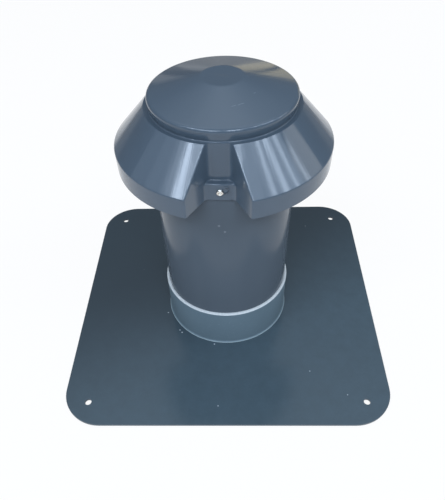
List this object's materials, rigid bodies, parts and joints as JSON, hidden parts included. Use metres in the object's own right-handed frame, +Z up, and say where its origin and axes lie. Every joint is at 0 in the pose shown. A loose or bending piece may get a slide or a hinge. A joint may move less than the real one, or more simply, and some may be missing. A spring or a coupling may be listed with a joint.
{
  "type": "flat roof vent",
  "caption": "Flat roof vent: square plate with corner holes, foot collar, riser tube and a low three-notched hood that lets air out downwards.",
  "frame": {"origin": "centre of the plate's underside, which lies on the roof", "axes": "+Z up along the tube, -Y towards the front notch, +X to the right"},
  "size_m": [0.4, 0.4, 0.3135],
  "materials": {
    "plate_plastic": "flat anthracite sheet, slightly satin",
    "collar_plastic": "matte grey pipe with a pale bevelled top edge",
    "tube_plastic": "smooth glossy pipe",
    "hood_plastic": "glossy moulded shell",
    "screw_steel": "bright stainless steel"
  },
  "bodies": {
    "root": {"base_plate": "plate_plastic", "foot_collar": "collar_plastic", "riser_tube": "tube_plastic", "hood": "hood_plastic", "hood_screws": "screw_steel"}
  },
  "joints": []
}
